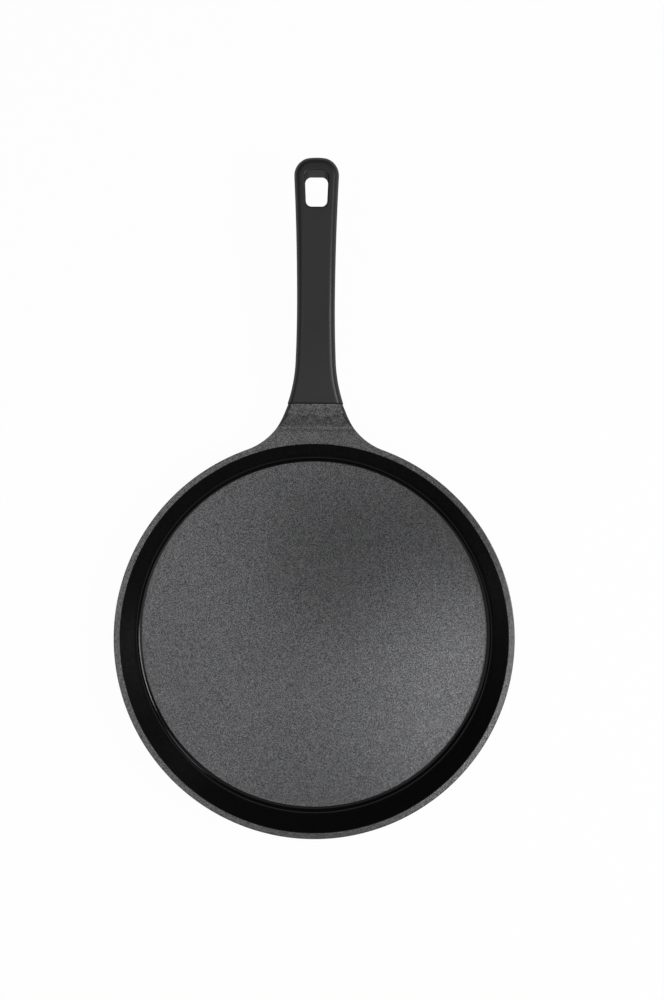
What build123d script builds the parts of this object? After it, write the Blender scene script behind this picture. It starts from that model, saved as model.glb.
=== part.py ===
# A crepe pan: a shallow round pan cast in one piece with its neck, and a moulded
# grip that slides over the neck's tang and is held there by one screw from below.
# Millimetres. The origin is the centre of the flat base, +Z is up and the handle
# points along +Y.
from build123d import *
import math
import os

os.makedirs("parts", exist_ok=True)

# Round pan
rim_inner_radius = 130.0
rim_width = 4.65
pan_height = 25.0
floor_thickness = 5.0
wall_lean = 8.0
floor_corner_radius = 6.0
base_corner_radius = 7.0
rim_inner_edge_radius = 0.6
rim_outer_edge_radius = 1.0

# Turned grooves under the base, round a plain pad in the middle
groove_count = 11
groove_pitch = 8.0
groove_width = 1.6
groove_depth = 0.4
centre_pad_radius = 24.0

# Neck, cast with the pan: its end face carries the handle
neck_length = 22.65
neck_end_width = 35.8
neck_end_height = 17.7
neck_rise = 3.4
neck_root_drop = 17.0
neck_flare_degrees = 22.5
neck_blend_radius = 42.0
neck_bite = 0.3
neck_overlap = 30.0
ramp_run = 11.5
ramp_land = 5.8
ramp_blend_radius = 14.0
neck_underside_radius = 5.0

# Two cored pockets under the neck, with a rib between them
pocket_roof = 4.5
pocket_side_wall = 4.5
pocket_end_wall = 6.0
pocket_pan_wall = 4.0
pocket_rib = 3.0
pocket_corner_radius = 2.0

# Tang, cast with the neck, that goes into the handle
tang_width = 12.0
tang_height = 6.0
tang_length = 42.0
tang_root = 4.0
tang_lift = 2.75
tang_slope_degrees = 12.5
tang_edge_radius = 1.0
socket_clearance = 0.25
socket_end_clearance = 1.5

# Handle in plan: distances run from its front face, and setbacks from its far end
handle_length = 154.7
handle_step = 0.7
shoulder_distance = 27.1
shoulder_width = 26.6
waist_distance = 64.7
waist_width = 24.8
head_setback = 14.9
head_width = 28.4
head_end_bulge = 2.6
head_corner_radius = 11.0

# Handle from the side
front_slope_degrees = 14.0
back_slope_degrees = 4.0
waist_thickness = 15.6
palm_setback = 42.7
palm_thickness = 16.6
head_thickness = 12.4
crown_edge_radius = 4.6
underside_edge_radius = 6.5

# Hanging hole, narrower at its pan end
hole_end_wall = 9.0
hole_side_wall = 6.55
hole_length = 22.4
hole_narrowing = 1.9
hole_outer_corner_radius = 4.0
hole_inner_corner_radius = 3.6
hole_edge_radius = 1.2

# Screw, washers and threaded insert
screw_distance = 20.0
screw_seat_thickness = 2.2
screw_hole_clearance = 0.3
thread_radius = 2.0
thread_clearance = 0.05
screw_head_radius = 4.0
screw_head_height = 3.1
screw_head_edge_radius = 1.4
screw_recess_length = 4.4
screw_recess_width = 1.0
screw_recess_depth = 1.8
screw_tip_chamfer = 0.4
washer_outer_radius = 4.5
washer_inner_radius = 2.15
washer_thickness = 0.8
spring_outer_radius = 3.8
spring_inner_radius = 2.1
spring_thickness = 0.9
spring_gap = 0.8
split_degrees = 20.0
counterbore_clearance = 0.5
insert_outer_radius = 3.1
insert_clearance = 0.02
insert_chamfer = 0.3

# How far a cutting shape runs past the surface it cuts
overrun = 10.0

# A direction counts as running along an axis from these shares of its length on
level_share = 0.05
upright_share = 0.5
middle_share = 0.5

# Places worked out from the sizes above
rim_outer_radius = rim_inner_radius + rim_width
wall_slope = wall_lean / (pan_height - floor_thickness)
floor_edge_radius = rim_inner_radius - wall_lean
base_edge_radius = rim_outer_radius - pan_height * wall_slope
joint_distance = rim_outer_radius + neck_length
neck_inner_distance = rim_inner_radius - neck_overlap
neck_top = pan_height + neck_rise
neck_bottom = neck_top - neck_end_height
neck_root = pan_height - neck_root_drop
neck_half_width = neck_end_width / 2
ramp_end = joint_distance - ramp_land
ramp_start = ramp_end - ramp_run
neck_flare = math.radians(neck_flare_degrees)
handle_top = neck_top + handle_step
handle_bottom = neck_bottom - handle_step
handle_front_width = neck_end_width + 2 * handle_step
handle_end = joint_distance + handle_length
handle_middle = (handle_top + handle_bottom) / 2
tang_slope = math.radians(tang_slope_degrees)
mean_slope = math.radians((front_slope_degrees + back_slope_degrees) / 2)
handle_rise = handle_length * math.tan(mean_slope)
pocket_start = rim_outer_radius + pocket_pan_wall
pocket_end = joint_distance - pocket_end_wall
pocket_widening = (pocket_end - pocket_start) * math.tan(neck_flare)
pocket_end_half_width = neck_half_width + pocket_end_wall * math.tan(neck_flare) - pocket_side_wall
pocket_start_half_width = pocket_end_half_width + pocket_widening
hole_end = handle_end - hole_end_wall
hole_start = hole_end - hole_length
hole_outer_width = head_width - 2 * hole_side_wall
hole_inner_width = hole_outer_width - hole_narrowing

# The tang runs out along its own sloping axis, and the screw stands square to it
tang_axis = Vector(0, math.cos(tang_slope), math.sin(tang_slope))
tang_foot = Vector(0, joint_distance, handle_middle + tang_lift)
tang_plane = Plane(origin=tang_foot, x_dir=(1, 0, 0), z_dir=tang_axis)
screw_centre = tang_foot + tang_axis * screw_distance
screw_axis = Vector(0, math.sin(tang_slope), -math.cos(tang_slope))
screw_plane = Plane(origin=screw_centre, x_dir=(1, 0, 0), z_dir=screw_axis)
tang_face_offset = tang_height / 2
seat_offset = tang_face_offset + socket_clearance + screw_seat_thickness
spring_offset = seat_offset + washer_thickness
head_offset = spring_offset + spring_thickness
screw_length = head_offset + tang_face_offset


def wall_radius(height):
    """The pan's outer radius at a height above the base."""
    return rim_outer_radius - (pan_height - height) * wall_slope


def neck_curve(height):
    """Three points of the arc that blends the neck's side into the pan's wall."""
    ring = wall_radius(height) - neck_bite
    corner = Vector(neck_half_width, joint_distance)
    along = Vector(math.sin(neck_flare), -math.cos(neck_flare))
    outward = Vector(math.cos(neck_flare), math.sin(neck_flare))
    start = corner + outward * neck_blend_radius
    reach = ring + neck_blend_radius
    travel = -start.dot(along) - math.sqrt(start.dot(along) ** 2 - start.dot(start) + reach**2)
    centre = start + along * travel
    side_end = centre - outward * neck_blend_radius
    ring_end = centre * (ring / reach)
    halfway = ((side_end - centre) + (ring_end - centre)).normalized()
    return side_end, centre + halfway * neck_blend_radius, ring_end


def neck_plan(height):
    """The neck's plan at one height, as a flat face."""
    side_end, blend_middle, ring_end = neck_curve(height)
    with BuildSketch() as plan:
        with BuildLine():
            Line((0, joint_distance), (neck_half_width, joint_distance))
            Line((neck_half_width, joint_distance), side_end)
            ThreePointArc(side_end, blend_middle, ring_end)
            Line(ring_end, (ring_end.X, neck_inner_distance))
            Line((ring_end.X, neck_inner_distance), (0, neck_inner_distance))
            mirror(about=Plane.YZ)
        make_face()
    return plan.sketch


def nearest(shapes, *points):
    """The corners of a sketch that lie nearest to the given points."""
    return [shapes.sort_by_distance(point)[0] for point in points]


def beyond_front(faces):
    """The edges of the handle's faces that get rounded: all but those at its front."""
    return faces.edges().filter_by_position(Axis.Y, joint_distance, handle_end, (False, True))


# The neck: its plan grows narrower towards the base with the leaning wall, and the
# side profile gives it the ramp on top and the rising underside
with BuildPart() as neck:
    for level in (neck_root - overrun, neck_top + overrun):
        with BuildSketch(Plane.XY.offset(level)):
            add(neck_plan(level))
    loft()
    with BuildSketch(Plane.YZ) as neck_side:
        with BuildLine():
            Polyline(
                (neck_inner_distance, neck_root),
                (neck_inner_distance, pan_height),
                (ramp_start, pan_height),
                (ramp_end, neck_top),
                (joint_distance, neck_top),
                (joint_distance, neck_bottom),
                (wall_radius(neck_root), neck_root),
                close=True,
            )
        make_face()
        ramp_corners = nearest(neck_side.vertices(), (ramp_start, pan_height), (ramp_end, neck_top))
        fillet(ramp_corners, ramp_blend_radius)
    extrude(amount=rim_outer_radius, both=True, mode=Mode.INTERSECT)
    side_edges = neck.edges().filter_by(lambda edge: abs(edge.tangent_at(middle_share).Y) > level_share)
    fillet(side_edges.filter_by_position(Axis.Z, pan_height, neck_top), rim_outer_edge_radius)
    side_edges = neck.edges().filter_by(lambda edge: abs(edge.tangent_at(middle_share).Y) > level_share)
    low_edges = side_edges.filter_by_position(
        Axis.Z, min(neck_root, neck_bottom), max(neck_root, neck_bottom)
    )
    outer_low_edges = low_edges.filter_by_position(Axis.Y, wall_radius(neck_root), joint_distance)
    fillet(outer_low_edges, neck_underside_radius)

# The pan with its neck, cavity, grooves, pockets and tang
with BuildPart() as pan_body:
    with BuildSketch(Plane.XZ) as outside:
        with BuildLine():
            Polyline(
                (0, 0),
                (base_edge_radius, 0),
                (rim_outer_radius, pan_height),
                (0, pan_height),
                close=True,
            )
        make_face()
        fillet(nearest(outside.vertices(), (base_edge_radius, 0)), base_corner_radius)
        fillet(nearest(outside.vertices(), (rim_outer_radius, pan_height)), rim_outer_edge_radius)
    revolve(axis=Axis.Z)
    add(neck.part)
    with BuildSketch(Plane.XZ) as cavity:
        with BuildLine():
            Polyline(
                (0, floor_thickness),
                (floor_edge_radius, floor_thickness),
                (rim_inner_radius, pan_height),
                (rim_inner_radius, pan_height + overrun),
                (0, pan_height + overrun),
                close=True,
            )
        make_face()
        fillet(nearest(cavity.vertices(), (floor_edge_radius, floor_thickness)), floor_corner_radius)
    revolve(axis=Axis.Z, mode=Mode.SUBTRACT)
    rim_circles = pan_body.edges().filter_by(GeomType.CIRCLE).group_by(Axis.Z)[-1]
    fillet(rim_circles.sort_by(SortBy.RADIUS)[0], rim_inner_edge_radius)
    with BuildSketch(Plane.XZ):
        for index in range(groove_count):
            with Locations((centre_pad_radius + index * groove_pitch, 0)):
                Rectangle(groove_width, 2 * groove_depth, align=(Align.MIN, Align.CENTER))
    revolve(axis=Axis.Z, mode=Mode.SUBTRACT)
    with BuildSketch(Plane.XY.offset(pan_height - pocket_roof)) as pockets:
        with BuildLine():
            Polyline(
                (pocket_rib / 2, pocket_start),
                (pocket_start_half_width, pocket_start),
                (pocket_end_half_width, pocket_end),
                (pocket_rib / 2, pocket_end),
                close=True,
            )
        make_face()
        fillet(pockets.vertices(), pocket_corner_radius)
        mirror(about=Plane.YZ)
    extrude(amount=-pan_height, mode=Mode.SUBTRACT)
    with BuildSketch(tang_plane.offset(-tang_root)):
        RectangleRounded(tang_width, tang_height, tang_edge_radius)
    extrude(amount=tang_root + tang_length)
    with BuildSketch(screw_plane):
        Circle(insert_outer_radius + insert_clearance)
    extrude(amount=tang_height, both=True, mode=Mode.SUBTRACT)

# The handle: the side profile trimmed by the plan, with soft edges all round
with BuildPart() as handle:
    with BuildSketch(Plane.YZ):
        with BuildLine():
            front_top = Vector(joint_distance, handle_top)
            back_top = Vector(handle_end, handle_top + handle_rise)
            front_slope = math.radians(front_slope_degrees)
            crown = TangentArc(front_top, back_top, tangent=(math.cos(front_slope), math.sin(front_slope)))
            waist_under = crown @ (waist_distance / handle_length) - Vector(0, waist_thickness)
            palm_under = crown @ (1 - palm_setback / handle_length) - Vector(0, palm_thickness)
            back_under = back_top - Vector(0, head_thickness)
            front_under = Vector(joint_distance, handle_bottom)
            Line(back_top, back_under)
            Spline(back_under, palm_under, waist_under, front_under)
            Line(front_under, front_top)
        make_face()
    extrude(amount=handle_front_width, both=True)
    with BuildSketch(Plane.XY) as handle_plan:
        with BuildLine():
            waist = Vector(waist_width / 2, joint_distance + waist_distance)
            shoulder = Vector(shoulder_width / 2, joint_distance + shoulder_distance)
            front_corner = Vector(handle_front_width / 2, joint_distance)
            head = Vector(head_width / 2, handle_end - head_setback)
            toward_pan = TangentArc(waist, shoulder, tangent=(0, -1))
            TangentArc(shoulder, front_corner, tangent=toward_pan % 1)
            toward_head = TangentArc(waist, head, tangent=(0, 1))
            lean = toward_head % 1
            back_corner = head + lean * ((handle_end - head_end_bulge - head.Y) / lean.Y)
            Line(head, back_corner)
            mirror(about=Plane.YZ)
            Line(front_corner, (-front_corner.X, joint_distance))
            ThreePointArc(back_corner, (0, handle_end), (-back_corner.X, back_corner.Y))
        make_face()
        back_corners = nearest(handle_plan.vertices(), back_corner, (-back_corner.X, back_corner.Y))
        fillet(back_corners, head_corner_radius)
    extrude(amount=handle_top + handle_rise + overrun, mode=Mode.INTERSECT)
    crown_face = handle.faces().filter_by(lambda face: face.normal_at().Z > upright_share)
    fillet(beyond_front(crown_face), crown_edge_radius)
    under_face = handle.faces().filter_by(lambda face: face.normal_at().Z < -upright_share)
    fillet(beyond_front(under_face), underside_edge_radius)
    with BuildSketch(Plane.XY) as hanging_hole:
        with BuildLine():
            Polyline(
                (hole_inner_width / 2, hole_start),
                (hole_outer_width / 2, hole_end),
                (-hole_outer_width / 2, hole_end),
                (-hole_inner_width / 2, hole_start),
                close=True,
            )
        make_face()
        outer_corners = hanging_hole.vertices().group_by(Axis.Y)[-1]
        fillet(outer_corners, hole_outer_corner_radius)
        inner_corners = nearest(
            hanging_hole.vertices(),
            (hole_inner_width / 2, hole_start),
            (-hole_inner_width / 2, hole_start),
        )
        fillet(inner_corners, hole_inner_corner_radius)
    extrude(amount=handle_top + handle_rise + overrun, mode=Mode.SUBTRACT)
    hole_faces = handle.faces().filter_by(lambda face: abs(face.normal_at().Z) > upright_share)
    mouths = [wire for face in hole_faces for wire in face.inner_wires()]
    fillet([edge for wire in mouths for edge in wire.edges()], hole_edge_radius)
    with BuildSketch(tang_plane.offset(-tang_root)):
        RectangleRounded(
            tang_width + 2 * socket_clearance,
            tang_height + 2 * socket_clearance,
            tang_edge_radius + socket_clearance,
        )
    extrude(amount=tang_root + tang_length + socket_end_clearance, mode=Mode.SUBTRACT)
    with BuildSketch(screw_plane):
        Circle(thread_radius + screw_hole_clearance)
    extrude(amount=screw_length + overrun, mode=Mode.SUBTRACT)
    with BuildSketch(screw_plane.offset(seat_offset)):
        Circle(washer_outer_radius + counterbore_clearance)
    extrude(amount=screw_length + overrun, mode=Mode.SUBTRACT)

# Threaded insert, pressed into the tang
with BuildPart() as threaded_insert:
    with BuildSketch(screw_plane):
        Circle(insert_outer_radius)
        Circle(thread_radius + thread_clearance, mode=Mode.SUBTRACT)
    extrude(amount=tang_face_offset, both=True)
    rings = threaded_insert.edges().filter_by(GeomType.CIRCLE)
    chamfer(rings.sort_by(SortBy.RADIUS)[-2:], insert_chamfer)

# Flat washer on the seat at the bottom of the counterbore
with BuildPart() as flat_washer:
    with BuildSketch(screw_plane.offset(seat_offset)):
        Circle(washer_outer_radius)
        Circle(washer_inner_radius, mode=Mode.SUBTRACT)
    extrude(amount=washer_thickness)

# Spring washer, closed flat by the tightened screw, with its slanting split
with BuildPart() as spring_washer:
    with BuildSketch(screw_plane.offset(spring_offset)):
        Circle(spring_outer_radius)
        Circle(spring_inner_radius, mode=Mode.SUBTRACT)
    extrude(amount=spring_thickness)
    split_plane = screw_plane.offset(spring_offset + spring_thickness / 2).rotated((0, split_degrees, 0))
    with BuildSketch(split_plane):
        Rectangle(spring_gap, spring_outer_radius + overrun, align=(Align.CENTER, Align.MIN))
    extrude(amount=spring_outer_radius, both=True, mode=Mode.SUBTRACT)

# Screw from below, with a domed head and a cross recess
with BuildPart() as handle_screw:
    with BuildSketch(screw_plane.offset(head_offset)):
        Circle(thread_radius)
    extrude(amount=-screw_length)
    chamfer(handle_screw.edges().sort_by(Axis.Z)[-1], screw_tip_chamfer)
    with BuildSketch(screw_plane.offset(head_offset)):
        Circle(screw_head_radius)
    extrude(amount=screw_head_height)
    fillet(handle_screw.edges().sort_by(Axis.Z)[0], screw_head_edge_radius)
    with BuildSketch(screw_plane.offset(head_offset + screw_head_height)):
        Rectangle(screw_recess_length, screw_recess_width)
        Rectangle(screw_recess_width, screw_recess_length)
    extrude(amount=-screw_recess_depth, mode=Mode.SUBTRACT)

pan_body.part.label = "pan_body"
handle.part.label = "handle"
threaded_insert.part.label = "threaded_insert"
flat_washer.part.label = "flat_washer"
spring_washer.part.label = "spring_washer"
handle_screw.part.label = "handle_screw"

export_step(pan_body.part, "parts/pan_body.step")
export_step(handle.part, "parts/handle.step")
export_step(threaded_insert.part, "parts/threaded_insert.step")
export_step(flat_washer.part, "parts/flat_washer.step")
export_step(spring_washer.part, "parts/spring_washer.step")
export_step(handle_screw.part, "parts/handle_screw.step")
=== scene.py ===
"""Dresses the crepe pan: its coated casting, its moulded grip and the fastening under it.

Every length is in metres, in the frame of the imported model: the origin is the centre
of the pan's base, +Z is up and the handle points along +Y. MM is a millimetre.
"""

import functools
import logging
import math
from dataclasses import dataclass
from enum import Enum

import bmesh
import bpy
from bpy.types import ID, Material, Mesh, Node, NodeOutputs, NodeSocket, NodeTree, Object
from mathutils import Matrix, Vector


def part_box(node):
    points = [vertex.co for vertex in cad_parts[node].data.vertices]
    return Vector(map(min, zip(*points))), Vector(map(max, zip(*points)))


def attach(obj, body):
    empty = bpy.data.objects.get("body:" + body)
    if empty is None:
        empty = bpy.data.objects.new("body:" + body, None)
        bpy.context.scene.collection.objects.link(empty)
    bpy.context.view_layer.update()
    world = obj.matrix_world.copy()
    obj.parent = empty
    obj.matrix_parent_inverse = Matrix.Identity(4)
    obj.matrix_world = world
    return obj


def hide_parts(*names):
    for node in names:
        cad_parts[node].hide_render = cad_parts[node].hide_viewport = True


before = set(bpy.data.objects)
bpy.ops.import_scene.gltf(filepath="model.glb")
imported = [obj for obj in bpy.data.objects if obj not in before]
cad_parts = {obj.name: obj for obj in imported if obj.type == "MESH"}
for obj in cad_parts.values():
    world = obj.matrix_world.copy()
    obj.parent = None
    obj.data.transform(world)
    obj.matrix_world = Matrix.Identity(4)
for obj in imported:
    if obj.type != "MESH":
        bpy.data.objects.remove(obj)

logging.basicConfig(level=logging.INFO, format="%(name)s: %(message)s")
log = logging.getLogger("crepe_pan")

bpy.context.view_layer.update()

MM = 0.001
BODY = "root"
WHITE = (1.0, 1.0, 1.0, 1.0)

# Places of the two finishes in the skin's list of materials
COATED = 0
BARE = 1


class Slot(Enum):
    """A material slot name of the record; no piece here takes its finish from it."""

    COATING = "coated_aluminium"


class NodeSheet:
    """Adds nodes to one node tree and links them with plain calls."""

    # Places of a Mix node's colour sockets, whose names its other sockets share
    COLOUR_A = 6
    COLOUR_B = 7
    COLOUR_RESULT = 2

    def __init__(self, tree: NodeTree) -> None:
        """Keeps the tree that the nodes go into."""
        self.tree = tree

    def feed(self, socket: NodeSocket, value: object) -> None:
        """Links a socket to another one, or sets its constant.

        Args:
            socket: the input that takes the value.
            value: an output socket, or a number, colour or vector.
        """
        if isinstance(value, NodeSocket):
            self.tree.links.new(value, socket)
        else:
            socket.default_value = value

    def fill(self, node: Node, inputs: dict) -> None:
        """Feeds several inputs of a node, by name or place."""
        for name, value in inputs.items():
            self.feed(node.inputs[name], value)

    def node(self, kind: str, inputs: dict | None = None, **settings: object) -> Node:
        """Adds a node.

        Args:
            kind: the node's type name.
            inputs: values or output sockets for its inputs, by name or place.
            settings: values for the node's own properties.

        Returns:
            The new node.
        """
        made = self.tree.nodes.new(kind)
        for name, value in settings.items():
            setattr(made, name, value)
        self.fill(made, inputs or {})
        return made

    def math(self, operation: str, *values: object) -> NodeSocket:
        """Adds a Math node on one, two or three values and returns its output."""
        return self.node("ShaderNodeMath", dict(enumerate(values)), operation=operation).outputs[0]

    def product(self, *values: object) -> NodeSocket:
        """Multiplies two or more values in their order and returns the product."""
        return functools.reduce(lambda made, value: self.math("MULTIPLY", made, value), values)

    def ease(self, value: object, low: object, high: object) -> NodeSocket:
        """Runs smoothly from 0 where the value is at low to 1 where it is at high."""
        inputs = {"Value": value, "From Min": low, "From Max": high}
        return self.node("ShaderNodeMapRange", inputs, interpolation_type="SMOOTHSTEP").outputs["Result"]

    def between(self, share: object, first: object, second: object) -> NodeSocket:
        """Mixes two values by a share and returns the value."""
        inputs = {"Factor": share, "A": first, "B": second}
        return self.node("ShaderNodeMix", inputs, data_type="FLOAT").outputs["Result"]

    def blend(self, share: object, first: object, second: object) -> NodeSocket:
        """Mixes two colours by a share and returns the colour."""
        inputs = {0: share, self.COLOUR_A: first, self.COLOUR_B: second}
        return self.node("ShaderNodeMix", inputs, data_type="RGBA").outputs[self.COLOUR_RESULT]

    def shade(self, colour: object, tone: object) -> NodeSocket:
        """Multiplies a colour by a value and returns the colour."""
        inputs = {"Vector": colour, "Scale": tone}
        return self.node("ShaderNodeVectorMath", inputs, operation="SCALE").outputs["Vector"]

    def axes(self, vector: NodeSocket) -> NodeOutputs:
        """Splits a vector and returns the outputs X, Y and Z."""
        return self.node("ShaderNodeSeparateXYZ", {"Vector": vector}).outputs


class Effects:
    """Surface effects that several finishes share, each a node group built once."""

    dust_detail: float = 1.0
    dust_share: float = 0.5
    patch_detail: float = 2.0
    noise_middle: float = 0.5

    def start(self, name: str, inputs: dict[str, str], outputs: list[str]) -> tuple[NodeSheet, dict]:
        """Starts a group with named sockets.

        Args:
            name: the group's name.
            inputs: the kind of each input socket, by name.
            outputs: the names of the output sockets, each a value.

        Returns:
            A sheet on the group and its input sockets by name.
        """
        tree = bpy.data.node_groups.new(name, "ShaderNodeTree")
        for socket, kind in inputs.items():
            tree.interface.new_socket(socket, in_out="INPUT", socket_type=kind)
        for socket in outputs:
            tree.interface.new_socket(socket, in_out="OUTPUT", socket_type="NodeSocketFloat")
        sheet = NodeSheet(tree)
        entry = sheet.node("NodeGroupInput")
        return sheet, {socket: entry.outputs[socket] for socket in inputs}

    def end(self, sheet: NodeSheet, outputs: dict[str, object]) -> NodeTree:
        """Links the values that a group puts out and returns the group."""
        sheet.node("NodeGroupOutput", outputs)
        return sheet.tree

    @functools.cached_property
    def grain(self) -> NodeTree:
        """Small granules: a height for bumps and a random tone for each granule.

        Returns:
            The group.
        """
        kinds = {"Vector": "NodeSocketVector", "Size": "NodeSocketFloat"}
        sheet, given = self.start("granules", kinds, ["Height", "Tone"])
        scale = sheet.math("DIVIDE", 1.0, given["Size"])
        inputs = {"Vector": given["Vector"], "Scale": scale}
        cells = sheet.node("ShaderNodeTexVoronoi", inputs, feature="F1")
        dust = sheet.node("ShaderNodeTexNoise", inputs | {"Detail": self.dust_detail})
        channels = sheet.node("ShaderNodeSeparateColor", {"Color": cells.outputs["Color"]})
        dome = sheet.math("SUBTRACT", 1.0, cells.outputs["Distance"])
        height = sheet.between(self.dust_share, dome, dust.outputs[0])
        return self.end(sheet, {"Height": height, "Tone": channels.outputs["Red"]})

    @functools.cached_property
    def cloud(self) -> NodeTree:
        """Broad soft patches: a tone that varies round 1.

        Returns:
            The group.
        """
        kinds = {"Vector": "NodeSocketVector"} | dict.fromkeys(("Size", "Strength"), "NodeSocketFloat")
        sheet, given = self.start("broad patches", kinds, ["Tone"])
        scale = sheet.math("DIVIDE", 1.0, given["Size"])
        inputs = {"Vector": given["Vector"], "Scale": scale, "Detail": self.patch_detail}
        noise = sheet.node("ShaderNodeTexNoise", inputs)
        swing = sheet.math("SUBTRACT", noise.outputs[0], self.noise_middle)
        return self.end(sheet, {"Tone": sheet.math("MULTIPLY_ADD", swing, given["Strength"], 1.0)})


class Surface(NodeSheet):
    """The nodes of one material: its shader, its coordinates and the shared effects on it."""

    glance_blend: float = 0.5
    glance_start: float = 0.45
    glance_end: float = 0.85

    def __init__(self, name: str, effects: Effects) -> None:
        """Starts a material with one Principled shader.

        Args:
            name: the material's name.
            effects: the shared surface effects.
        """
        self.material = bpy.data.materials.new(name)
        self.material.use_nodes = True
        super().__init__(self.material.node_tree)
        self.shader = next(node for node in self.tree.nodes if node.type == "BSDF_PRINCIPLED")
        self.where = self.node("ShaderNodeTexCoord").outputs
        self.effects = effects

    def effect(self, group: NodeTree, **inputs: object) -> NodeOutputs:
        """Places a shared effect with its own values and returns its outputs."""
        inputs["Vector"] = self.where["Object"]
        return self.node("ShaderNodeGroup", inputs, node_tree=group).outputs

    def granules(self, size: float) -> NodeOutputs:
        """Places the granules and returns their outputs."""
        return self.effect(self.effects.grain, Size=size)

    def patches(self, size: float, strength: float) -> NodeSocket:
        """Places the broad patches and returns their tone."""
        return self.effect(self.effects.cloud, Size=size, Strength=strength)["Tone"]

    def bumps(self, height: NodeSocket, strength: float, depth: float) -> NodeSocket:
        """Turns a height into bumps and returns their normal."""
        inputs = {"Strength": strength, "Distance": depth, "Height": height}
        return self.node("ShaderNodeBump", inputs).outputs["Normal"]

    def glance(self) -> NodeSocket:
        """Finds where a rough surface is seen at a glancing angle, from 0 to 1."""
        facing = self.node("ShaderNodeLayerWeight", {"Blend": self.glance_blend}).outputs["Facing"]
        return self.ease(facing, self.glance_start, self.glance_end)


class Finish:
    """A finish that turns into one material."""

    name: str

    def inputs(self, sheet: Surface) -> dict:
        """Works out the shader's inputs by name. Each finish has its own."""
        raise NotImplementedError

    def material(self, effects: Effects) -> Material:
        """Builds the finish's material.

        Args:
            effects: the shared surface effects.

        Returns:
            The material.
        """
        sheet = Surface(self.name, effects)
        sheet.fill(sheet.shader, self.inputs(sheet))
        return sheet.material


@dataclass(frozen=True)
class GranularCoating(Finish):
    """Dark non-stick coating: mica granules on the flats, smooth and black on the wall inside. Fewer
    granules on steep faces paint shade on edges, sides and slopes, and none at the neck's end paint the
    seam's shadow.
    """

    # where the coating turns black along the handle: a painted shadow in the seam under the handle
    seam_shade_start: float
    name: str = "granular_coating"
    binder: tuple = (0.003, 0.003, 0.0032, 1.0)
    flake: tuple = (0.34, 0.34, 0.35, 1.0)
    flake_share: float = 0.28
    # share of granules kept on steep faces: a painted shade on edges, sides and slopes
    steep_shade_share: float = 0.45
    steep_roughness: float = 0.6
    steep_level: float = 0.93
    flat_level: float = 0.99
    metallic: float = 0.65
    granule_size: float = 0.31 * MM
    patch_size: float = 60 * MM
    patch_strength: float = 0.2
    tone_power: float = 2.0
    tone_gain: float = 2.1
    tone_base: float = 0.3
    bump_strength: float = 0.12
    bump_depth: float = 0.1 * MM
    flat_roughness: float = 0.24
    glance_roughness: float = 0.85
    wall_roughness: float = 0.12
    specular: float = 0.14
    wall_gloss: float = 0.32
    seam_depth: float = 0.1 * MM
    floor_end: float = 118.8 * MM
    wall_start: float = 119.3 * MM
    gloss_start: float = 121.3 * MM
    gloss_end: float = 122.5 * MM
    wall_end: float = 129.9 * MM
    flange_start: float = 130.3 * MM
    base_height: float = 4 * MM
    floor_height: float = 4.9 * MM
    middle_radius: float = 122.3 * MM
    wall_slope: float = 0.4

    def wall_shares(self, sheet: NodeSheet, axes: NodeOutputs) -> tuple:
        """Finds the wall inside the pan, where there are no granules.

        Args:
            sheet: the material's nodes.
            axes: the surface's own coordinates.

        Returns:
            Two values from 0 elsewhere to 1: on the whole wall, and on its glossy upper part.
        """
        flat = sheet.node("ShaderNodeCombineXYZ", {"X": axes["X"], "Y": axes["Y"]}).outputs[0]
        radius = sheet.node("ShaderNodeVectorMath", {"Vector": flat}, operation="LENGTH").outputs["Value"]
        lean = sheet.math("MULTIPLY_ADD", axes["Z"], -self.wall_slope, radius)
        bounds = (
            sheet.ease(radius, self.floor_end, self.wall_start),
            sheet.ease(radius, self.flange_start, self.wall_end),
            sheet.ease(axes["Z"], self.base_height, self.floor_height),
            sheet.math("LESS_THAN", lean, self.middle_radius),
        )
        share = sheet.product(*bounds)
        return share, sheet.product(share, sheet.ease(radius, self.gloss_start, self.gloss_end))

    def inputs(self, sheet: Surface) -> dict:
        """Works out the inputs of the coating's shader.

        Args:
            sheet: the material's nodes.

        Returns:
            The value or socket of each input, by name.
        """
        axes = sheet.axes(sheet.where["Object"])
        wall, gloss = self.wall_shares(sheet, axes)
        up = sheet.math("ABSOLUTE", sheet.axes(sheet.where["Normal"])["Z"])
        # level runs from steep to flat faces; it thins the granules on steep faces, a painted shade, and
        # sets their roughness
        level = sheet.ease(up, self.steep_level, self.flat_level)
        # no granules from the seam on, so the groove and the neck's end are black: a painted shadow in
        # the gap under the handle
        seam = sheet.ease(axes["Y"], self.seam_shade_start, self.seam_shade_start + self.seam_depth)
        flat = sheet.math("SUBTRACT", 1.0, sheet.math("MAXIMUM", wall, seam))
        grain = sheet.granules(self.granule_size)
        tone = sheet.math("POWER", grain["Tone"], self.tone_power)
        tone = sheet.math("MULTIPLY_ADD", tone, self.tone_gain, self.tone_base)
        height = sheet.product(grain["Height"], flat)
        # fewer granules, so a darker colour, on steep faces: painted shade
        slope = sheet.between(level, self.steep_shade_share, 1.0)
        cloud = sheet.patches(self.patch_size, self.patch_strength)
        share = sheet.product(tone, self.flake_share, flat, slope, cloud)
        rough = sheet.between(level, self.steep_roughness, self.flat_roughness)
        rough = sheet.between(sheet.glance(), rough, self.glance_roughness)
        return {
            "Base Color": sheet.blend(share, self.binder, self.flake),
            "Metallic": sheet.product(flat, self.metallic),
            "Roughness": sheet.between(wall, rough, self.wall_roughness),
            "Coat Weight": sheet.product(gloss, self.wall_gloss),
            "Coat Roughness": self.wall_roughness,
            "Specular IOR Level": self.specular,
            "Normal": sheet.bumps(height, self.bump_strength, self.bump_depth),
        }


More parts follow.
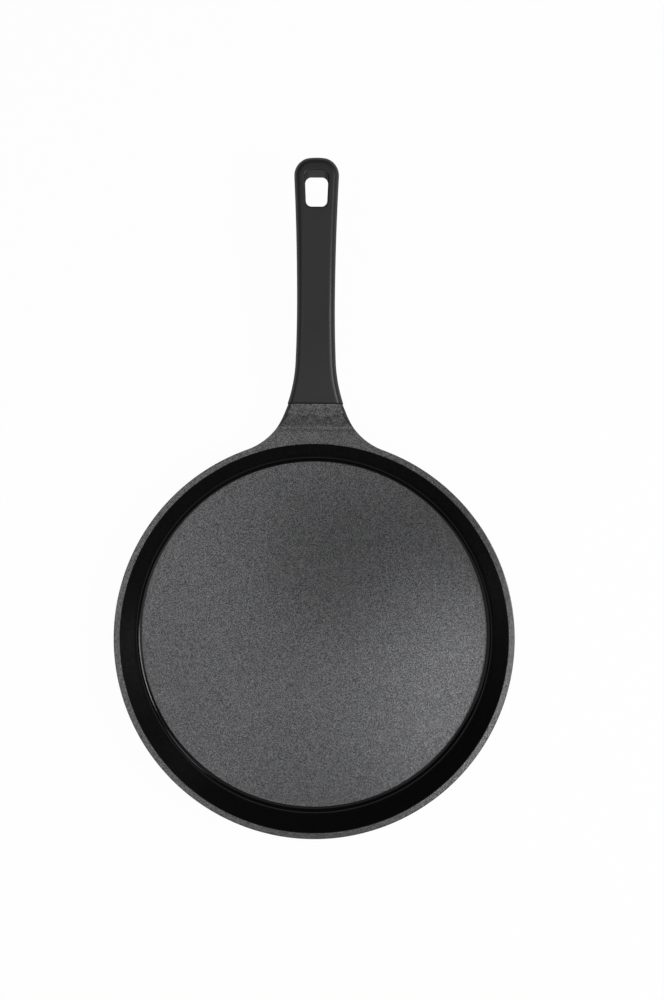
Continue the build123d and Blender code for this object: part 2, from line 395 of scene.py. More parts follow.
@dataclass(frozen=True)
class MouldedGrip(Finish):
    """Matte black phenolic moulding with a very fine texture."""

    name: str = "moulded_phenolic"
    colour: tuple = (0.02, 0.02, 0.0205, 1.0)
    roughness: float = 0.34
    glance_roughness: float = 0.9
    specular: float = 0.25
    texture_size: float = 0.25 * MM
    patch_size: float = 20 * MM
    patch_strength: float = 0.2
    bump_strength: float = 0.08
    bump_depth: float = 0.05 * MM

    def inputs(self, sheet: Surface) -> dict:
        """Works out the inputs of the grip's shader.

        Args:
            sheet: the material's nodes.

        Returns:
            The value or socket of each input, by name.
        """
        grain = sheet.granules(self.texture_size)
        cloud = sheet.patches(self.patch_size, self.patch_strength)
        rough = sheet.product(self.roughness, cloud)
        return {
            "Base Color": sheet.shade(self.colour[:3], cloud),
            "Roughness": sheet.between(sheet.glance(), rough, self.glance_roughness),
            "Specular IOR Level": self.specular,
            "Normal": sheet.bumps(grain["Height"], self.bump_strength, self.bump_depth),
        }


@dataclass(frozen=True)
class PlainMetal(Finish):
    """Small turned or pressed metal pieces."""

    name: str = "zinc_steel"
    colour: tuple = (0.6, 0.6, 0.6, 1.0)
    roughness: float = 0.32
    grain_roughness: float = 0.1
    texture_size: float = 0.2 * MM
    patch_size: float = 2 * MM
    patch_strength: float = 0.4

    def inputs(self, sheet: Surface) -> dict:
        """Works out the inputs of the metal's shader.

        Args:
            sheet: the material's nodes.

        Returns:
            The value or socket of each input, by name.
        """
        tone = sheet.granules(self.texture_size)["Tone"]
        cloud = sheet.patches(self.patch_size, self.patch_strength)
        return {
            "Base Color": sheet.shade(self.colour[:3], cloud),
            "Metallic": 1.0,
            "Roughness": sheet.math("MULTIPLY_ADD", tone, self.grain_roughness, self.roughness),
        }


@dataclass(frozen=True)
class TurnedMetal(Finish):
    """Bare cast aluminium with the fine rings that a lathe tool leaves."""

    name: str = "turned_base_metal"
    colour: tuple = (0.54, 0.54, 0.55, 1.0)
    roughness: float = 0.34
    ring_roughness: float = 0.08
    ring_pitch: float = 0.35 * MM
    ring_distortion: float = 0.4
    wave_turn: float = math.pi / 10.0
    patch_size: float = 40 * MM
    patch_strength: float = 0.25
    bump_strength: float = 0.3
    bump_depth: float = 0.02 * MM

    def inputs(self, sheet: Surface) -> dict:
        """Works out the inputs of the metal's shader.

        Args:
            sheet: the material's nodes.

        Returns:
            The value or socket of each input, by name.
        """
        scale = self.wave_turn / self.ring_pitch
        cloud = sheet.patches(self.patch_size, self.patch_strength)
        inputs = {"Vector": sheet.where["Object"], "Scale": scale, "Distortion": self.ring_distortion}
        waves = sheet.node("ShaderNodeTexWave", inputs, wave_type="RINGS", rings_direction="Z")
        rings = waves.outputs["Fac"]
        return {
            "Base Color": sheet.shade(self.colour[:3], cloud),
            "Metallic": 1.0,
            "Roughness": sheet.math("MULTIPLY_ADD", rings, self.ring_roughness, self.roughness),
            "Normal": sheet.bumps(rings, self.bump_strength, self.bump_depth),
        }


@dataclass
class CadPiece:
    """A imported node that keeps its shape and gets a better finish."""

    node: str
    finish: Finish

    def dress(self, effects: Effects) -> None:
        """Puts the finish on the node.

        Args:
            effects: the shared surface effects.
        """
        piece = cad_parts[self.node]
        piece.data.materials.clear()
        piece.data.materials.append(self.finish.material(effects))
        log.info("dressed %s", self.node)


class Skin:
    """A closed skin laid ring by ring, each ring with the same number of points."""

    def __init__(self) -> None:
        """Starts with no points."""
        self.points: list[tuple] = []
        self.faces: list[tuple] = []
        self.marks: list[int] = []
        self.last: range = range(0)

    def ring(self, points: list[tuple], mark: int = COATED) -> None:
        """Adds a ring and joins it to the ring before it.

        Args:
            points: the ring's points in order.
            mark: the material slot of the faces between this ring and the last.
        """
        here = range(len(self.points), len(self.points) + len(points))
        self.points.extend(points)
        for place in range(len(self.last)):
            follow = (place + 1) % len(here)
            self.faces.append((self.last[place], here[place], here[follow], self.last[follow]))
            self.marks.append(mark)
        self.last = here

    def cap(self, centre: tuple, ends: bool, mark: int = COATED) -> None:
        """Closes the last ring with a fan about a centre.

        Args:
            centre: the fan's middle point.
            ends: True where the skin ends, False where it starts.
            mark: the material slot of the fan.
        """
        middle = len(self.points)
        self.points.append(centre)
        for place in range(len(self.last)):
            pair = (self.last[place], self.last[(place + 1) % len(self.last)])
            self.faces.append((middle, pair[1], pair[0]) if ends else (middle, *pair))
            self.marks.append(mark)

    def mesh(self, name: str) -> Mesh:
        """Turns the skin into a mesh.

        Args:
            name: the mesh's name.

        Returns:
            The mesh.
        """
        made = bpy.data.meshes.new(name)
        made.from_pydata(self.points, [], self.faces)
        made.polygons.foreach_set("material_index", self.marks)
        made.validate()
        return made


def steps(first: float, last: float, count: int) -> list[float]:
    """Evenly spaced values from just after the first one up to the last one."""
    return [first + (last - first) * (place + 1) / count for place in range(count)]


def eased(value: float, low: float, high: float) -> float:
    """Runs smoothly from 0 at low to 1 at high."""
    share = min(max((value - low) / (high - low), 0.0), 1.0)
    return share * share * (3.0 - 2.0 * share)


def added(name: str, data: ID) -> Object:
    """Makes an object and adds it to the scene.

    Args:
        name: the object's name.
        data: its mesh, lamp or camera.

    Returns:
        The object.
    """
    made = bpy.data.objects.new(name, data)
    bpy.context.collection.objects.link(made)
    return made


def cutter(name: str, outline: list[tuple], low: float, high: float) -> Object:
    """Makes an upright prism for cutting or adding.

    Args:
        name: the prism's name.
        outline: its plan points, in order.
        low: the height of its lower end.
        high: the height of its upper end.

    Returns:
        The prism.
    """
    skin = Skin()
    middle = (sum(x for x, y in outline) / len(outline), sum(y for x, y in outline) / len(outline))
    skin.ring([(x, y, high) for x, y in outline])
    skin.cap((*middle, high), ends=False)
    skin.ring([(x, y, low) for x, y in outline])
    skin.cap((*middle, low), ends=True)
    return added(name, skin.mesh(name))


def rounded(corners: list[tuple], radius: float, count: int = 5) -> list[tuple]:
    """Rounds the corners of a convex outline that runs anticlockwise.

    Args:
        corners: the outline's corners in plan.
        radius: the radius at each corner.
        count: how many steps each round takes.

    Returns:
        The rounded outline's points.
    """
    points = []
    for place, corner in enumerate(corners):
        here = Vector(corner)
        before = (Vector(corners[place - 1]) - here).normalized()
        after = (Vector(corners[(place + 1) % len(corners)]) - here).normalized()
        half = before.angle(after) / 2.0
        centre = here + (before + after).normalized() * (radius / math.sin(half))
        start = here + before * (radius / math.tan(half)) - centre
        sweep = math.pi - 2.0 * half
        angle = math.atan2(start.y, start.x)
        for turn in [0.0, *steps(0.0, sweep, count)]:
            points.append(
                (centre.x + radius * math.cos(angle + turn), centre.y + radius * math.sin(angle + turn))
            )
    return points


class Side(Enum):
    """The stretches of the outline from the pan's far side to the middle of the neck's end."""

    ROUND = "round pan"
    BLEND = "blend into the neck"
    FLANK = "straight side of the neck"
    END = "end face of the neck"


@dataclass(frozen=True)
class Station:
    """One place along the outline: its stretch, how far along it lies, and its hand."""

    side: Side
    share: float
    root_share: float
    hand: int


@dataclass
class PanBody:
    """The cast pan with its neck and tang, as one skin round the casting."""

    rim_inner_radius: float = 130 * MM
    rim_width: float = 4.4 * MM
    height: float = 25 * MM
    floor_thickness: float = 5 * MM
    wall_lean: float = 8 * MM
    floor_corner_radius: float = 6 * MM
    base_corner_radius: float = 7 * MM
    inner_edge_radius: float = 0.6 * MM
    outer_edge_radius: float = 0.5 * MM
    neck_half_width: float = 17.9 * MM
    neck_end_height: float = 17.7 * MM
    neck_rise: float = 3.4 * MM
    neck_root: float = 8 * MM
    neck_flare: float = math.radians(22.5)
    blend_radius: float = 42 * MM
    ramp_run: float = 11.5 * MM
    ramp_land: float = 5.8 * MM
    ramp_radius: float = 14 * MM
    end_edge_radius: float = 2.4 * MM
    ripple_height: float = 0.09 * MM
    ripple_length: float = 7 * MM
    ripple_spread: float = 11 * MM
    ripple_bend: float = 2.0
    ripple_slant: float = 0.25
    underside_radius: float = 5 * MM
    underside_share: float = 0.4
    low_row_depth: float = 1.8 * MM
    merge_width: float = 1.5 * MM
    groove_count: int = 11
    groove_pitch: float = 8 * MM
    groove_width: float = 1.6 * MM
    groove_depth: float = 0.4 * MM
    pad_radius: float = 24 * MM
    pocket_roof: float = 4.5 * MM
    pocket_side_wall: float = 4.5 * MM
    pocket_end_wall: float = 6 * MM
    pocket_pan_wall: float = 4 * MM
    pocket_rib: float = 3 * MM
    pocket_radius: float = 2 * MM
    tang_half_width: float = 6 * MM
    tang_half_height: float = 3 * MM
    tang_length: float = 42 * MM
    tang_root: float = 4 * MM
    tang_height: float = 22.3 * MM
    tang_slope: float = math.radians(12.5)
    tang_radius: float = 1 * MM
    seam_width: float = 0.8 * MM
    seam_depth: float = 1.2 * MM
    seam_side_depth: float = 0.35 * MM
    round_stations: int = 110
    blend_stations: int = 22
    flank_stations: int = 14
    end_stations: int = 16
    floor_rings: int = 12
    corner_rings: int = 14
    side_rings: int = 8
    edge_rings: int = 7
    neck_rings: int = 20
    blend_root_share: float = 0.5
    flank_root_share: float = 0.62
    sharp_angle: float = math.radians(38.0)

    def __post_init__(self) -> None:
        """Works out the places that follow from the sizes and the frame."""
        self.skin = Skin()
        self.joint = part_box("handle")[0].y
        self.rim_outer_radius = self.rim_inner_radius + self.rim_width
        self.wall_slope = self.wall_lean / (self.height - self.floor_thickness)
        self.wall_angle = math.atan2(1.0, self.wall_slope)
        self.flange_start = self.rim_inner_radius
        self.flange_start += self.inner_edge_radius * math.tan(self.wall_angle / 2.0)
        self.neck_top = self.height + self.neck_rise
        self.neck_bottom = self.neck_top - self.neck_end_height
        self.ramp_end = self.joint - self.ramp_land
        self.ramp_start = self.ramp_end - self.ramp_run
        self.along = Vector((math.sin(self.neck_flare), -math.cos(self.neck_flare)))
        self.outward = Vector((math.cos(self.neck_flare), math.sin(self.neck_flare)))
        self.corner = Vector((self.neck_half_width, self.joint))
        self.edges = {level: self.root_edge(level) for level in (self.height, self.neck_root)}
        self.stations = self.lay_stations()

    def lay_stations(self) -> list[Station]:
        """Lists the stations once round the outline, from the far side back to it.

        Returns:
            The stations.
        """
        half = []
        stretches = (
            (Side.ROUND, self.round_stations, 0.0, 0.0),
            (Side.BLEND, self.blend_stations, 0.0, self.blend_root_share),
            (Side.FLANK, self.flank_stations, self.blend_root_share, self.flank_root_share),
            (Side.END, self.end_stations, self.flank_root_share, 1.0),
        )
        for side, count, root_from, root_to in stretches:
            for place in range(count):
                share = place / count
                half.append((side, share, root_from + (root_to - root_from) * share))
        right = [Station(*entry, 1) for entry in half]
        left = [Station(*entry, -1) for entry in half[:0:-1]]
        return right + [Station(Side.END, 1.0, 1.0, 1)] + left

    def wall_radius(self, height: float) -> float:
        """The pan's outer radius at a height above the base."""
        return self.rim_outer_radius - (self.height - height) * self.wall_slope

    def blend_centre(self, height: float) -> Vector:
        """The centre of the arc between the wall and the neck's side at a height.

        Args:
            height: the height above the base.

        Returns:
            The centre in plan.
        """
        start = self.corner + self.outward * self.blend_radius
        reach = self.wall_radius(height) + self.blend_radius
        run = start.dot(self.along)
        travel = -run - math.sqrt(run * run - start.dot(start) + reach * reach)
        return start + self.along * travel

    def root_edge(self, height: float) -> float:
        """The angle from +Y at which the neck's blend leaves the round wall at a height."""
        centre = self.blend_centre(height)
        return math.atan2(centre.x, centre.y)

    def on_circle(self, station: Station, radius: float, height: float, level: float) -> Vector:
        """The point of a station on a circle about the pan's axis.

        Args:
            station: where along the outline.
            radius: the circle's radius.
            height: the circle's height.
            level: the height at which the neck's root gives the station's angle.

        Returns:
            The point.
        """
        low, high = self.neck_root, self.height
        share = min(max((level - low) / (high - low), 0.0), 1.0)
        edge = self.edges[low] + (self.edges[high] - self.edges[low]) * share
        if station.side is Side.ROUND:
            angle = math.pi - (math.pi - edge) * station.share
        else:
            angle = edge * (1.0 - station.root_share)
        return Vector((station.hand * radius * math.sin(angle), radius * math.cos(angle), height))

    def outline(self, station: Station, height: float, inset: float = 0.0) -> Vector:
        """The outline's plan point at a station.

        Args:
            station: where along the outline.
            height: the height that the leaning wall is taken at.
            inset: how far the point lies inside the outline.

        Returns:
            The point in plan.
        """
        if station.side is Side.ROUND:
            return self.on_circle(station, self.wall_radius(height) - inset, height, height).xy
        if station.side is Side.END:
            corner = self.end_corner(inset)
            return Vector((corner.x * (1.0 - station.share) * station.hand, corner.y))
        centre = self.blend_centre(height)
        radius = self.blend_radius + inset
        if station.side is Side.FLANK:
            point = (centre - self.outward * radius).lerp(self.end_corner(inset), station.share)
        else:
            first = math.atan2(-centre.y, -centre.x)
            last = math.atan2(-self.outward.y, -self.outward.x)
            angle = first + (last - first) * station.share
            point = centre + Vector((math.cos(angle), math.sin(angle))) * radius
        return Vector((point.x * station.hand, point.y))

    def end_corner(self, inset: float) -> Vector:
        """The corner between the neck's side and its end face, a distance inside the outline."""
        far = self.corner - self.outward * inset
        return far + self.along * ((far.y - self.joint) / math.cos(self.neck_flare))

    def ramp(self, along: float) -> float:
        """The height of the top surface at a distance from the pan's axis along the handle.

        Args:
            along: the distance.

        Returns:
            The height.
        """
        slope = self.neck_rise / self.ramp_run
        angle = math.atan(slope)
        reach = self.ramp_radius * math.tan(angle / 2.0)
        run = self.ramp_radius * math.sin(angle)
        start = self.ramp_start - reach
        end = self.ramp_end + reach
        if along <= start:
            return self.height
        if along < start + run:
            return self.height + self.ramp_radius - math.sqrt(self.ramp_radius**2 - (along - start) ** 2)
        if along < end - run:
            return self.height + (along - self.ramp_start) * slope
        if along < end:
            return self.neck_top - self.ramp_radius + math.sqrt(self.ramp_radius**2 - (end - along) ** 2)
        return self.neck_top

    def ripple(self, plan: Vector) -> float:
        """The slight unevenness of the cast top of the neck.

        Args:
            plan: a point in plan.

        Returns:
            How far the surface lies above its even height there.
        """
        window = eased(plan.y, self.ramp_start, self.ramp_end) * eased(plan.y, self.joint, self.ramp_end)
        bend = self.ripple_bend * math.sin(math.tau * plan.x / self.ripple_spread)
        slanted = plan.y + plan.x * self.ripple_slant
        wave = math.sin(math.tau * slanted / self.ripple_length + bend)
        return self.ripple_height * window * wave

    def underside(self, along: float) -> float:
        """The height of the neck's underside at a distance along the handle.

        Args:
            along: the distance.

        Returns:
            The height.
        """
        root = self.wall_radius(self.neck_root)
        share = max((along - root) / (self.joint - root), 0.0)
        return self.neck_root + (self.neck_bottom - self.neck_root) * share

    def side_angle(self, station: Station) -> float:
        """The angle at which the side stands, from the level: the pan's wall leans, the neck's doesn't.

        Args:
            station: where along the outline.

        Returns:
            The angle in radians.
        """
        drop = self.outer_edge_radius
        upper = self.outline(station, self.height)
        lower = self.outline(station, self.height - drop)
        return math.atan2(drop, (upper - lower).length)

    def edge_point(self, station: Station, share: float) -> Vector:
        """A point on the rounded outer edge, whose radius grows towards the neck's end.

        Args:
            station: where along the outline.
            share: how far round the edge, from the top surface at 0 to the side at 1.

        Returns:
            The point.
        """
        place = self.outline(station, self.height).y
        grown = eased(place, self.ramp_start, self.joint)
        radius = self.outer_edge_radius + (self.end_edge_radius - self.outer_edge_radius) * grown
        angle = self.side_angle(station)
        turn = (math.pi - angle) * share
        inset = radius * (1.0 / math.tan(angle / 2.0) - math.sin(turn))
        plan = self.outline(station, self.height, inset)
        return Vector((*plan, self.ramp(place) - radius * (1.0 - math.cos(turn))))

    def protrusion(self, station: Station) -> float:
        """How far the neck stands out from the round wall at a station, near its underside.

        Args:
            station: where along the outline.

        Returns:
            The distance.
        """
        outer = self.outline(station, self.neck_root)
        wall = self.wall_radius(self.neck_root)
        return (outer - self.on_circle(station, wall, self.neck_root, self.neck_root).xy).length

    def low_point(self, station: Station, turn: float) -> Vector:
        """A point on the rounded low edge, from the side round to the underside.

        Args:
            station: where along the outline.
            turn: the angle round the edge, from the side on.

        Returns:
            The point.
        """
        radius = min(self.underside_radius, self.underside_share * self.protrusion(station))
        place = self.outline(station, self.neck_root).y
        height = self.underside(place) + radius * (1.0 - math.sin(turn))
        return Vector((*self.outline(station, height, radius * (1.0 - math.cos(turn))), height))

    def side_point(self, station: Station, share: float) -> Vector:
        """A point on the side, from under the outer edge down to the low edge.

        Args:
            station: where along the outline.
            share: how far down the side, from 0 to 1.

        Returns:
            The point.
        """
        top = self.edge_point(station, 1.0).z
        low = self.low_point(station, 0.0).z
        height = top + (low - top) * share
        return Vector((*self.outline(station, min(height, self.height)), height))

    def wrap(self, station: Station, row: float, neck_point: Vector) -> Vector:
        """Eases a point of the neck's underside onto the wall where the neck runs out.

        Args:
            station: where along the outline.
            row: how far down the wall the point goes where there is no neck, as a share.
            neck_point: the point where the neck is full.

        Returns:
            The eased point.
        """
        height = self.neck_root - self.low_row_depth * row
        wall = self.on_circle(station, self.wall_radius(height), height, self.neck_root)
        return wall.lerp(neck_point, eased(self.protrusion(station), 0.0, self.merge_width))

    def circle(self, radius: float, height: float, level: float) -> list[Vector]:
        """A ring of all stations on a circle about the pan's axis."""
        return [self.on_circle(station, radius, height, level) for station in self.stations]

    def inside_rings(self) -> None:
        """Lays the floor, the corner, the wall and the inner edge of the rim."""
        corner = self.rim_inner_radius - self.wall_lean
        corner -= self.floor_corner_radius * math.tan(self.wall_angle / 2.0)
        profile = [(radius, self.floor_thickness) for radius in steps(0.0, corner, self.floor_rings)]
        for turn in steps(0.0, self.wall_angle, self.corner_rings):
            radius = corner + self.floor_corner_radius * math.sin(turn)
            rise = self.floor_corner_radius * (1.0 - math.cos(turn))
            profile.append((radius, self.floor_thickness + rise))
        edge = []
        for turn in [self.wall_angle, *steps(self.wall_angle, 0.0, self.edge_rings)]:
            radius = self.flange_start - self.inner_edge_radius * math.sin(turn)
            edge.append((radius, self.height - self.inner_edge_radius * (1.0 - math.cos(turn))))
        foot, brow = Vector(profile[-1]), Vector(edge[0])
        wall = [tuple(foot.lerp(brow, share)) for share in steps(0.0, 1.0, self.side_rings)[:-1]]
        self.skin.ring(self.circle(*profile[0], self.height))
        self.skin.cap((0.0, 0.0, self.floor_thickness), ends=False)
        for radius, height in profile[1:] + wall + edge:
            self.skin.ring(self.circle(radius, height, self.height))

    def top_rings(self) -> None:
        """Lays the rim's flat top and the neck's top, then the outer edge."""
        for share in steps(0.0, 1.0, self.neck_rings):
            row = []
            for station in self.stations:
                start = self.on_circle(station, self.flange_start, self.height, self.height)
                plan = start.xy.lerp(self.edge_point(station, 0.0).xy, share)
                row.append(Vector((*plan, self.ramp(plan.y) + self.ripple(plan))))
            self.skin.ring(row)
        for share in steps(0.0, 1.0, self.edge_rings):
            self.skin.ring([self.edge_point(station, share) for station in self.stations])

    def outside_rings(self) -> None:
        """Lays the sides, the neck's underside and the wall below it."""
        for share in steps(0.0, 1.0, self.side_rings):
            self.skin.ring([self.side_point(station, share) for station in self.stations])
        turns = steps(0.0, math.pi / 2.0, self.edge_rings)
        shares = steps(0.0, 1.0, self.side_rings)
        rows = len(turns) + len(shares)
        for place, turn in enumerate(turns, 1):
            self.skin.ring(
                [self.wrap(each, place / rows, self.low_point(each, turn)) for each in self.stations]
            )
        for place, share in enumerate(shares, 1 + len(turns)):
            row = []
            for station in self.stations:
                radius = self.wall_radius(self.neck_root)
                root = self.on_circle(station, radius, self.neck_root, self.neck_root)
                plan = self.low_point(station, math.pi / 2.0).xy.lerp(root.xy, share)
                full = Vector((*plan, self.underside(plan.y)))
                row.append(self.wrap(station, place / rows, full))
            self.skin.ring(row)

    def base_rings(self) -> None:
        """Lays the round of the base's edge, the turned base and its grooves."""
        base_edge = self.rim_outer_radius - self.height * self.wall_slope
        flat = base_edge - self.base_corner_radius * math.tan(self.wall_angle / 2.0)
        profile = []
        for turn in [self.wall_angle, *steps(self.wall_angle, 0.0, self.corner_rings)]:
            radius = flat + self.base_corner_radius * math.sin(turn)
            profile.append((radius, self.base_corner_radius * (1.0 - math.cos(turn)), COATED))
        for index in reversed(range(self.groove_count)):
            inner = self.pad_radius + index * self.groove_pitch
            outer = inner + self.groove_width
            profile += [(outer, 0.0, BARE), (outer, self.groove_depth, BARE)]
            profile += [(inner, self.groove_depth, BARE), (inner, 0.0, BARE)]
        profile.append((self.pad_radius / 2.0, 0.0, BARE))
        for radius, height, mark in profile:
            self.skin.ring(self.circle(radius, height, self.neck_root), mark)
        self.skin.cap((0.0, 0.0, 0.0), ends=True, mark=BARE)

    def pockets(self) -> list[Object]:
        """Makes the shapes of the two cored pockets under the neck.

        Returns:
            The right one and the left one.
        """
        start = self.rim_outer_radius + self.pocket_pan_wall
        end = self.joint - self.pocket_end_wall
        flare = math.tan(self.neck_flare)
        end_width = self.neck_half_width + self.pocket_end_wall * flare - self.pocket_side_wall
        start_width = end_width + (end - start) * flare
        rib = self.pocket_rib / 2.0
        right = [(rib, start), (start_width, start), (end_width, end), (rib, end)]
        left = [(-x, y) for x, y in reversed(right)]
        roof = self.height - self.pocket_roof
        plans = {"pocket_right": right, "pocket_left": left}
        return [
            cutter(name, rounded(plan, self.pocket_radius), -self.height, roof)
            for name, plan in plans.items()
        ]

    def bar(
        self, name: str, half: tuple, radius: float, span: tuple, height: float, slope: float
    ) -> Object:
        """Makes a bar that runs along the handle.

        Args:
            name: the bar's name.
            half: half its width and half its height.
            radius: the radius of its long edges.
            span: where it starts and ends, measured from the joint.
            height: the height of its axis at the joint.
            slope: the angle at which it rises.

        Returns:
            The bar.
        """
        wide, high = half
        corners = [(-wide, -high), (wide, -high), (wide, high), (-wide, high)]
        made = cutter(name, rounded(corners, radius), *span)
        made.rotation_euler = (slope - math.pi / 2.0, 0.0, 0.0)
        made.location = (0.0, self.joint, height)
        return made

    def tang(self) -> Object:
        """Makes the tang, a sloping bar that runs from the neck into the handle.

        Returns:
            The bar.
        """
        half = (self.tang_half_width, self.tang_half_height)
        span = (-self.tang_root, self.tang_length)
        return self.bar("tang", half, self.tang_radius, span, self.tang_height, self.tang_slope)

    def seam(self) -> list[tuple]:
        """Makes the narrow groove between the neck and the handle: a slice out, a smaller core in.

        Returns:
            Each shape with its Boolean operation.
        """
        middle = (self.neck_top + self.neck_bottom) / 2.0
        wide = self.neck_half_width + self.end_edge_radius
        high = self.neck_end_height
        slice_out = self.bar(
            "seam_slice", (wide, high), self.tang_radius, (-self.seam_width, self.seam_width), middle, 0.0
        )
        half = (self.neck_half_width - self.seam_side_depth, high / 2.0 - self.seam_depth)
        core = self.bar(
            "seam_core", half, self.end_edge_radius, (-self.pocket_end_wall / 2.0, 0.0), middle, 0.0
        )
        return [(slice_out, "DIFFERENCE"), (core, "UNION")]

    def build(self, effects: Effects) -> Object:
        """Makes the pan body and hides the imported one.

        Args:
            effects: the shared surface effects.

        Returns:
            The new piece.
        """
        self.inside_rings()
        self.top_rings()
        self.outside_rings()
        self.base_rings()
        piece = added("pan_body_skin", self.skin.mesh("pan_body_skin"))
        # the coating paints the seam at the neck's end black, as the shadow in the gap
        coating = GranularCoating(seam_shade_start=self.joint - self.seam_width)
        for finish in (coating, TurnedMetal()):
            piece.data.materials.append(finish.material(effects))
        self.carve(piece)
        piece.data.polygons.foreach_set("use_smooth", [True] * len(piece.data.polygons))
        piece.data.set_sharp_from_angle(angle=self.sharp_angle)
        even = piece.modifiers.new("even_normals", "WEIGHTED_NORMAL")
        even.keep_sharp = True
        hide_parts("pan_body")
        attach(piece, BODY)
        log.info("built %s with %d faces", piece.name, len(piece.data.polygons))
        return piece

    def carve(self, piece: Object) -> None:
        """Cuts the seam, adds the tang and takes the pockets out.

        Args:
            piece: the skin of the pan.
        """
        tools = self.seam() + [(self.tang(), "UNION")]
        tools += [(shape, "DIFFERENCE") for shape in self.pockets()]
        for shape, operation in tools:
            step = piece.modifiers.new(shape.name, "BOOLEAN")
            step.solver = "EXACT"
            step.operation = operation
            step.object = shape
        bpy.context.view_layer.update()
        solved = piece.evaluated_get(bpy.context.evaluated_depsgraph_get())
        carved = bpy.data.meshes.new_from_object(solved)
        piece.modifiers.clear()
        piece.data = carved
        for shape, operation in tools:
            bpy.data.objects.remove(shape, do_unlink=True)


@dataclass(frozen=True)
class Lamp:
    """A soft rectangular lamp that faces a point."""

    name: str
    centre: tuple
    aim: tuple
    level_size: float
    other_size: float
    radiance: float

    def make(self) -> None:
        """Hangs the lamp, with its first side level."""
        data = bpy.data.lights.new(self.name, "AREA")
        data.shape = "RECTANGLE"
        data.size, data.size_y = self.level_size, self.other_size
        data.energy = self.radiance * self.level_size * self.other_size * math.pi
        lamp = added(self.name, data)
        lamp.location = self.centre
        facing = Vector(self.aim) - Vector(self.centre)
        lamp.rotation_euler = facing.to_track_quat("-Z", "Y").to_euler()


@dataclass(frozen=True)
class CeilingPanel:
    """A level rectangle of light above the pan, given by its sides in plan."""

    name: str
    left: float
    right: float
    near: float
    far: float
    radiance: float

    def lamp(self, height: float) -> Lamp:
        """The lamp that fills the panel at a height.

        Args:
            height: the panel's height.

        Returns:
            The lamp.
        """
        middle = ((self.left + self.right) / 2, (self.near + self.far) / 2)
        size = (self.right - self.left, self.far - self.near)
        return Lamp(self.name, (*middle, height), (*middle, 0.0), *size, self.radiance)


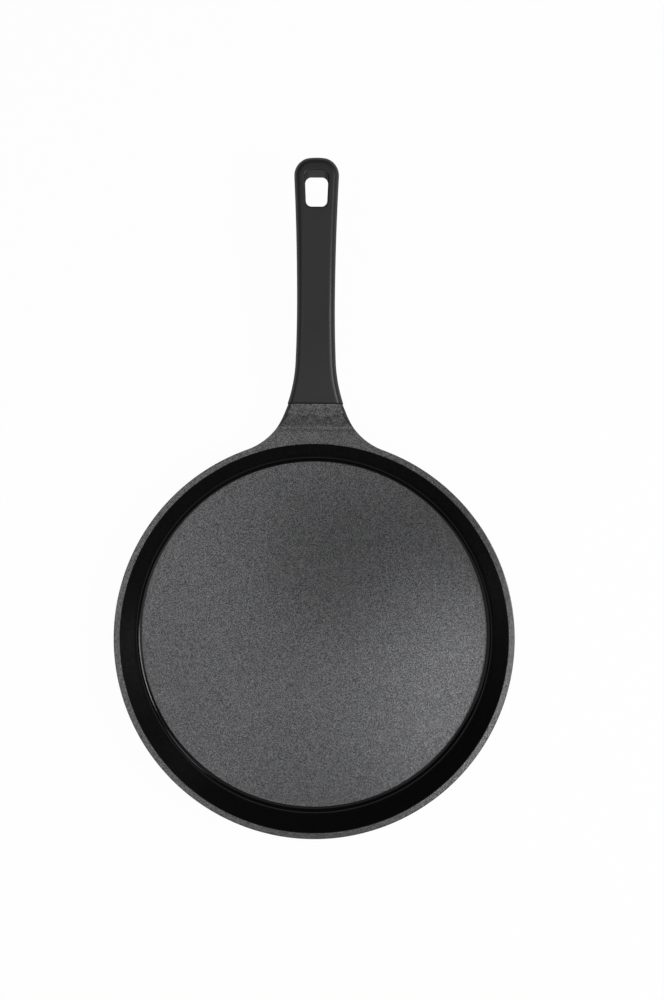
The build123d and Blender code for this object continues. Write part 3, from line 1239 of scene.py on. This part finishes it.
@dataclass
class Studio:
    """Pale floor, a ceiling of light with a gap round the camera, two side lamps and the camera."""

    rim_height: float = 25 * MM
    camera_height: float = 596 * MM
    camera_along: float = 92.65 * MM
    view_length: float = 668.2 * MM
    sensor: float = 36.0
    shift_share: float = 0.0178
    roll: float = math.radians(0.3)
    nearest_view: float = 10 * MM
    floor_radius: float = 8.0
    floor_sides: int = 96
    floor_white: tuple = (0.86, 0.86, 0.86, 1.0)
    backdrop_share: float = 0.97
    ceiling_height: float = 1.25
    panels: tuple = (
        CeilingPanel("ceiling_end", -1.50, -0.66, -0.80, 0.20, 1.5),
        CeilingPanel("ceiling_left", -0.62, -0.10, -0.72, 0.55, 1.3),
        CeilingPanel("ceiling_near", -0.10, 0.16, -0.58, -0.16, 1.15),
        CeilingPanel("ceiling_right", 0.16, 0.90, -0.62, -0.10, 2.3),
        CeilingPanel("ceiling_far", -0.10, 0.60, 0.14, 0.55, 1.2),
    )
    side_lamps: tuple = (
        Lamp("side_near", (0.84, -0.03, 1.0), (0.0, -0.03, 0.02), 0.4, 0.2, 26.0),
        Lamp("side_far", (0.84, 0.58, 1.0), (0.0, 0.58, 0.02), 0.42, 0.2, 8.0),
    )
    horizon_radiance: float = 0.4
    room_radiance: float = 0.03
    horizon_start: float = 0.1
    horizon_end: float = 0.34

    def build(self) -> None:
        """Makes the floor, the room, the lamps and the camera."""
        self.floor()
        self.room()
        for panel in self.panels:
            panel.lamp(self.ceiling_height).make()
        for lamp in self.side_lamps:
            lamp.make()
        self.camera()

    def floor(self) -> None:
        """Lays a pale floor that looks white and keeps the pan's shadow."""
        mesh = bpy.data.meshes.new("floor")
        shape = bmesh.new()
        bmesh.ops.create_circle(shape, cap_ends=True, segments=self.floor_sides, radius=self.floor_radius)
        shape.to_mesh(mesh)
        shape.free()
        floor = added("floor", mesh)
        material = bpy.data.materials.new("pale_floor")
        material.use_nodes = True
        sheet = NodeSheet(material.node_tree)
        material.node_tree.nodes.clear()
        plain = sheet.node("ShaderNodeBsdfDiffuse", {"Color": self.floor_white})
        glow = sheet.node("ShaderNodeEmission", {"Color": WHITE, "Strength": 1.0})
        rays = sheet.node("ShaderNodeLightPath").outputs
        share = sheet.product(self.shown(sheet, rays), self.backdrop_share)
        mixed = sheet.node("ShaderNodeMixShader", {0: share, 1: plain.outputs[0], 2: glow.outputs[0]})
        sheet.node("ShaderNodeOutputMaterial", {"Surface": mixed.outputs[0]})
        mesh.materials.append(material)

    def shown(self, sheet: NodeSheet, rays: NodeOutputs) -> NodeSocket:
        """Finds the rays that show the backdrop: the camera's, and those off gloss or through glass.

        Args:
            sheet: the material's or the world's nodes.
            rays: the outputs of a Light Path node.

        Returns:
            1 for those rays and 0 for others.
        """
        seen = sheet.math("MAXIMUM", rays["Is Camera Ray"], rays["Is Glossy Ray"])
        return sheet.math("MAXIMUM", seen, rays["Is Transmission Ray"])

    def room(self) -> None:
        """Fills the room with a dim even light, with the white backdrop round the horizon."""
        world = bpy.data.worlds.new("room")
        world.use_nodes = True
        world.node_tree.nodes.clear()
        sheet = NodeSheet(world.node_tree)
        ray = sheet.node("ShaderNodeTexCoord").outputs["Generated"]
        height = sheet.axes(ray)["Z"]
        rise = sheet.ease(height, self.horizon_start, self.horizon_end)
        rays = sheet.node("ShaderNodeLightPath").outputs
        horizon = sheet.between(self.shown(sheet, rays), self.horizon_radiance, self.backdrop_share)
        level = sheet.between(rise, horizon, self.room_radiance)
        level = sheet.between(rays["Is Camera Ray"], level, self.backdrop_share)
        back = sheet.node("ShaderNodeBackground", {"Color": WHITE, "Strength": level})
        sheet.node("ShaderNodeOutputWorld", {"Surface": back.outputs[0]})
        bpy.context.scene.world = world

    def camera(self) -> None:
        """Hangs the camera over the pan, looking straight down."""
        data = bpy.data.cameras.new("camera")
        data.sensor_width = self.sensor
        data.lens = self.sensor * self.camera_height / self.view_length
        data.shift_x = self.shift_share
        data.clip_start = self.nearest_view
        camera = added("camera", data)
        sideways = -self.camera_along * math.sin(self.roll)
        along = self.camera_along * math.cos(self.roll)
        camera.location = (sideways, along, self.rim_height + self.camera_height)
        camera.rotation_euler = (0.0, 0.0, self.roll)
        bpy.context.scene.camera = camera


def main() -> None:
    """Dresses the pan and builds the studio round it."""
    effects = Effects()
    PanBody().build(effects)
    pieces = [
        CadPiece("handle", MouldedGrip()),
        CadPiece("threaded_insert", PlainMetal("brass", (0.66, 0.5, 0.25, 1.0))),
        CadPiece("flat_washer", PlainMetal()),
        CadPiece("spring_washer", PlainMetal()),
        CadPiece("handle_screw", PlainMetal()),
    ]
    for piece in pieces:
        piece.dress(effects)
    Studio().build()
    bpy.context.scene.view_settings.view_transform = "Standard"


if __name__ == "__main__":
    main()
